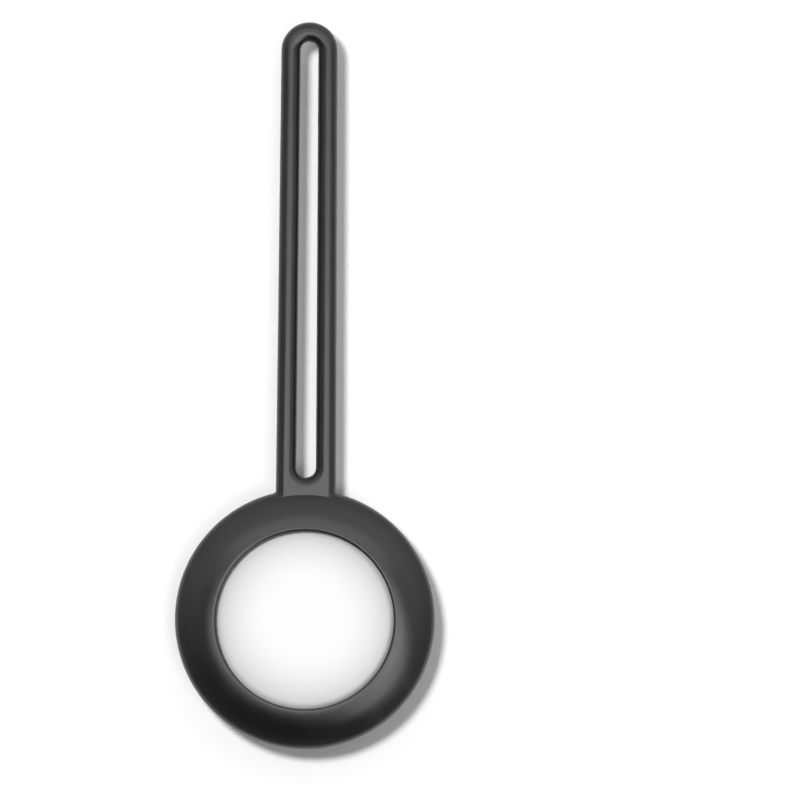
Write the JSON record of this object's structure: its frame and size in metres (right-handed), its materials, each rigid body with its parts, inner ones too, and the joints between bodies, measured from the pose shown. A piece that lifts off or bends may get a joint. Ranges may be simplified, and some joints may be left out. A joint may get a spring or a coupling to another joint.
{
  "type": "tracker tag holder",
  "caption": "Black silicone loop holder: a round pocket with a front window grips a white domed coin tracker, and a long slotted strap hitches it to a bag or keys.",
  "frame": {"origin": "where the pocket's axis meets the flat disc on the back that the holder rests on", "axes": "+Z is the front, where the tracker shows; +Y runs along the strap to its tip; +X is to the right"},
  "size_m": [0.042, 0.1176, 0.009],
  "materials": {
    "silicone": "satin moulded silicone",
    "white_gloss": "polished white",
    "white_satin": "satin white",
    "polished_steel": "polished with fine turned lines",
    "bayonet_plastic": "moulded black",
    "foam": "fine closed foam",
    "seal_rubber": "soft seal",
    "glue": "cured adhesive",
    "board_mask": "dark solder mask",
    "chip_black": "moulded chip",
    "tinned_steel": "tinned sheet",
    "capacitor_body": "fired ceramic",
    "carrier_plastic": "moulded dark plastic",
    "antenna_metal": "plated gold colour",
    "yoke_steel": "zinc plated",
    "magnet_nickel": "nickel plated",
    "coil_copper": "enamelled copper wire",
    "former_plastic": "amber film",
    "contact_spring": "plated spring sheet",
    "cell_steel": "nickel plated steel",
    "gasket_plastic": "translucent gasket"
  },
  "bodies": {
    "holder": {"pocket_back": "silicone", "pocket_front": "silicone", "strap_neck": "silicone"},
    "strap": {"strap_loop": "silicone"},
    "tag": {"front_cover": "white_gloss", "rear_chassis": "white_satin", "cover_adhesive": "glue", "antenna_carrier": "carrier_plastic", "antenna_traces": "antenna_metal", "logic_board": "board_mask", "shield_can": "tinned_steel", "radio_chip": "chip_black", "ranging_chip": "chip_black", "memory_chip": "chip_black", "motion_sensor": "chip_black", "audio_amplifier": "chip_black", "power_regulator": "chip_black", "clock_crystal": "tinned_steel", "board_capacitors": "capacitor_body", "speaker_yoke": "yoke_steel", "speaker_magnet": "magnet_nickel", "voice_coil": "coil_copper", "coil_former": "former_plastic", "negative_contact": "contact_spring", "positive_contacts": "contact_spring", "cell_can": "cell_steel", "cell_gasket": "gasket_plastic", "cell_cap": "cell_steel", "cover_seal": "seal_rubber"},
    "cover": {"battery_cover": "polished_steel", "bayonet_ring": "bayonet_plastic", "cover_foam": "foam"}
  },
  "joints": [
    {"name": "strap_flex", "type": "hinge", "parent": "holder", "child": "strap", "pos_m": [0, 0.02457, 0.0046], "axis": [1, 0, 0], "range_deg": [-90, 90], "stiffness_Nm_per_rad": 0.02, "deforming": ["strap_neck"]},
    {"name": "tag_push_out", "type": "slide", "parent": "holder", "child": "tag", "axis": [0, 0, 1], "range_m": [0, 0.014], "deforming": ["pocket_front"]},
    {"name": "cover_twist", "type": "hinge", "parent": "tag", "child": "cover", "pos_m": [0, 0, 0.001], "axis": [0, 0, 1], "range_deg": [0, 25]}
  ]
}
